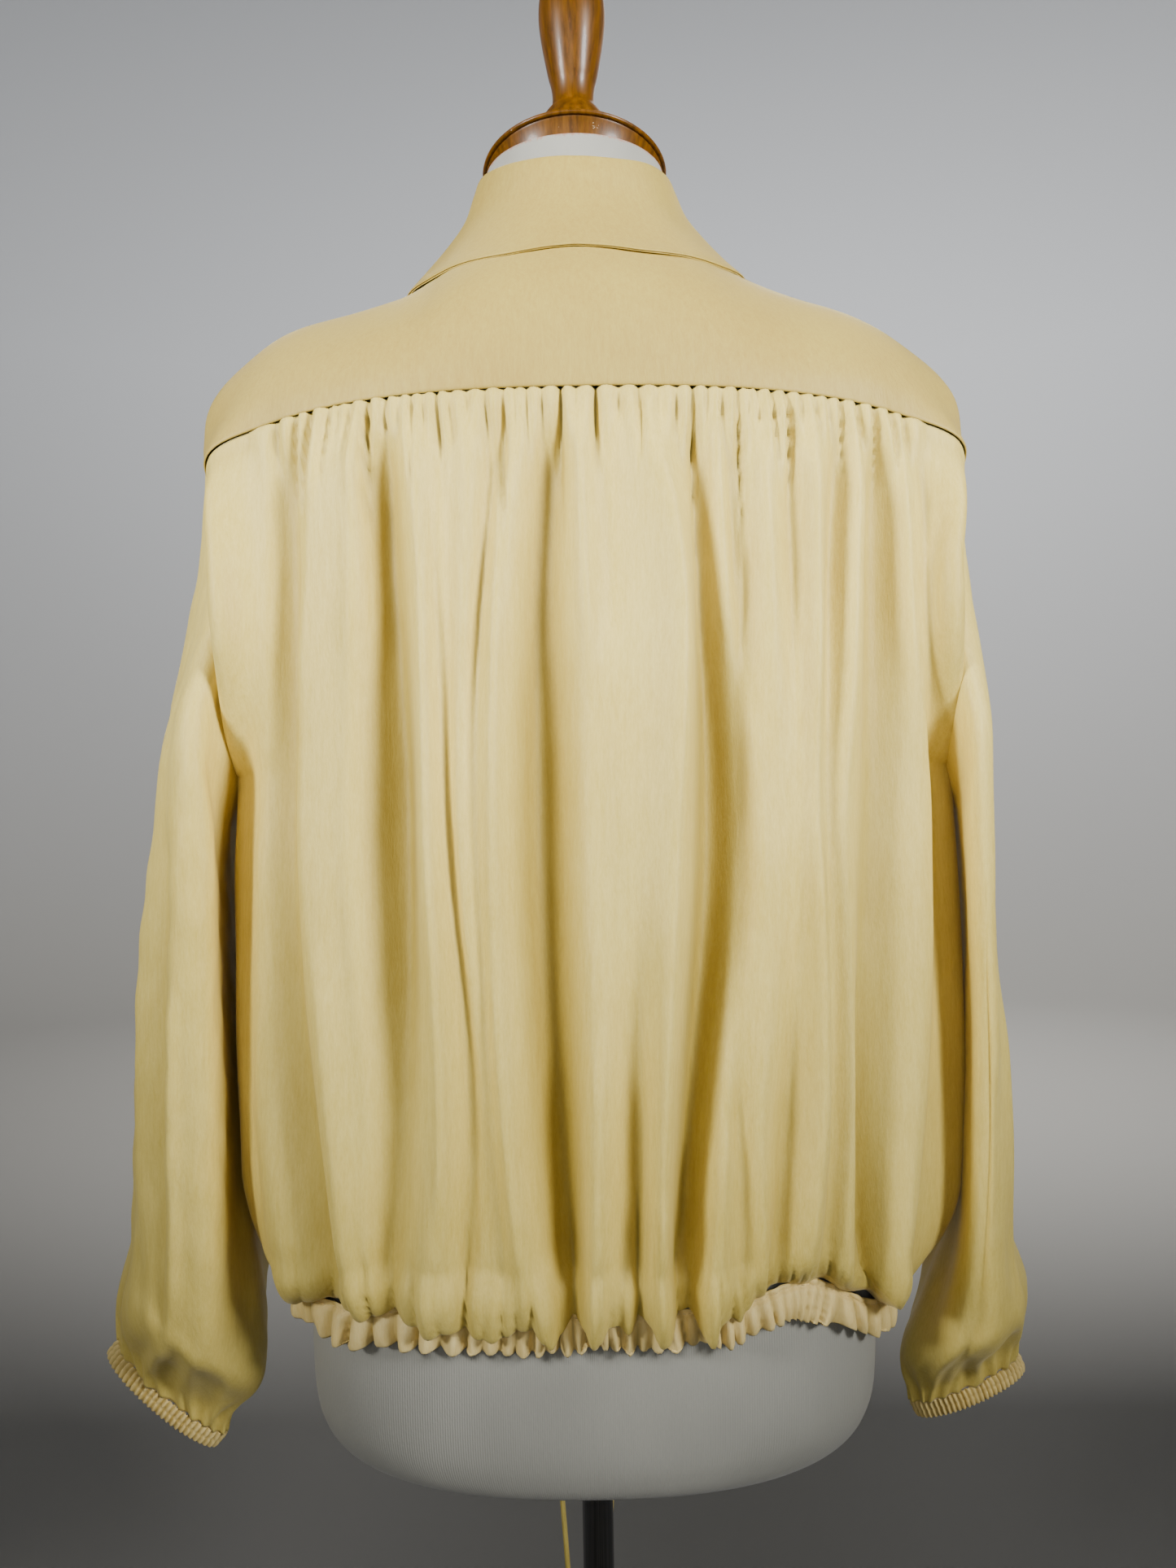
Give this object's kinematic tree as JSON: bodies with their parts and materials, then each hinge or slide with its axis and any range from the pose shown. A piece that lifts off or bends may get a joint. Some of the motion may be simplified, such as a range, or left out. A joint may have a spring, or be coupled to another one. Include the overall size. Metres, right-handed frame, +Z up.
{
  "type": "blouse on a dress form",
  "caption": "Long-sleeved silk blouse with a gathered yoke seam, laid collar, crimped cuffs and a drawstring hem, on a limbless dress form with pole and round base.",
  "frame": {"origin": "centre of the base's underside, on the floor under the pole", "axes": "+Z up along the pole, +Y the way the wearer faces, +X the wearer's right; the blouse's back faces -Y"},
  "size_m": [0.565, 0.36, 1.43],
  "materials": {
    "silk": "matte crinkled crepe",
    "doubled_silk": "matte crinkled crepe, two layers",
    "button": "polished",
    "jersey": "fine ribbed knit",
    "beech": "varnished",
    "chrome": "polished",
    "painted_steel": "satin black"
  },
  "bodies": {
    "root": {"back": "silk", "yoke": "doubled_silk", "front_left": "silk", "front_right": "silk", "placket": "doubled_silk", "button_1": "button", "button_2": "button", "button_3": "button", "button_4": "button", "button_5": "button", "button_6": "button", "collar": "doubled_silk", "sleeve_left": "silk", "sleeve_right": "silk", "cuff_left": "doubled_silk", "cuff_right": "doubled_silk", "hem_back": "doubled_silk", "hem_front": "doubled_silk", "tie_left": "silk", "tie_right": "silk", "torso": "jersey", "neck_cap": "beech", "finial": "beech", "pole": "chrome", "base": "painted_steel"}
  },
  "joints": []
}
